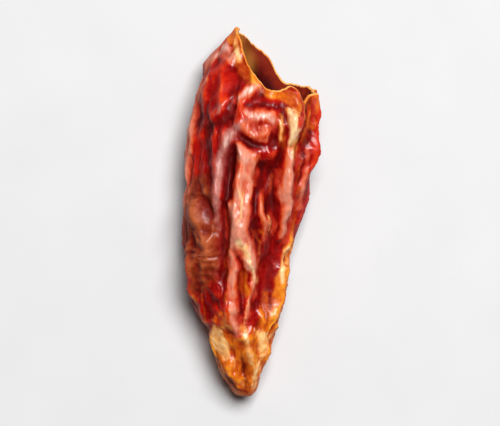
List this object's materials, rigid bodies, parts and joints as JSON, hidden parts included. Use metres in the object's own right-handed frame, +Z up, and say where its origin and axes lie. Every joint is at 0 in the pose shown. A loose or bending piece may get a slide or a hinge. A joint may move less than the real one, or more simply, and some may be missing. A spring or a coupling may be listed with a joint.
{
  "type": "dried chili pepper",
  "caption": "Small dried chili pod without its stem, with a wrinkled glossy skin, a torn open mouth and loose seeds.",
  "frame": {"origin": "on the surface that the pod lies on, under the middle of its bounding box", "axes": "+Y along the pod from its blossom tip to its torn mouth, +Z up from the surface"},
  "size_m": [0.0149, 0.0401, 0.0116],
  "materials": {
    "dried_skin": "glossy, deep red, amber where thin",
    "seed": "matte, straw yellow"
  },
  "bodies": {
    "root": {"pod": "dried_skin", "seed_1": "seed", "seed_2": "seed", "seed_3": "seed", "seed_4": "seed", "seed_5": "seed"}
  },
  "joints": []
}
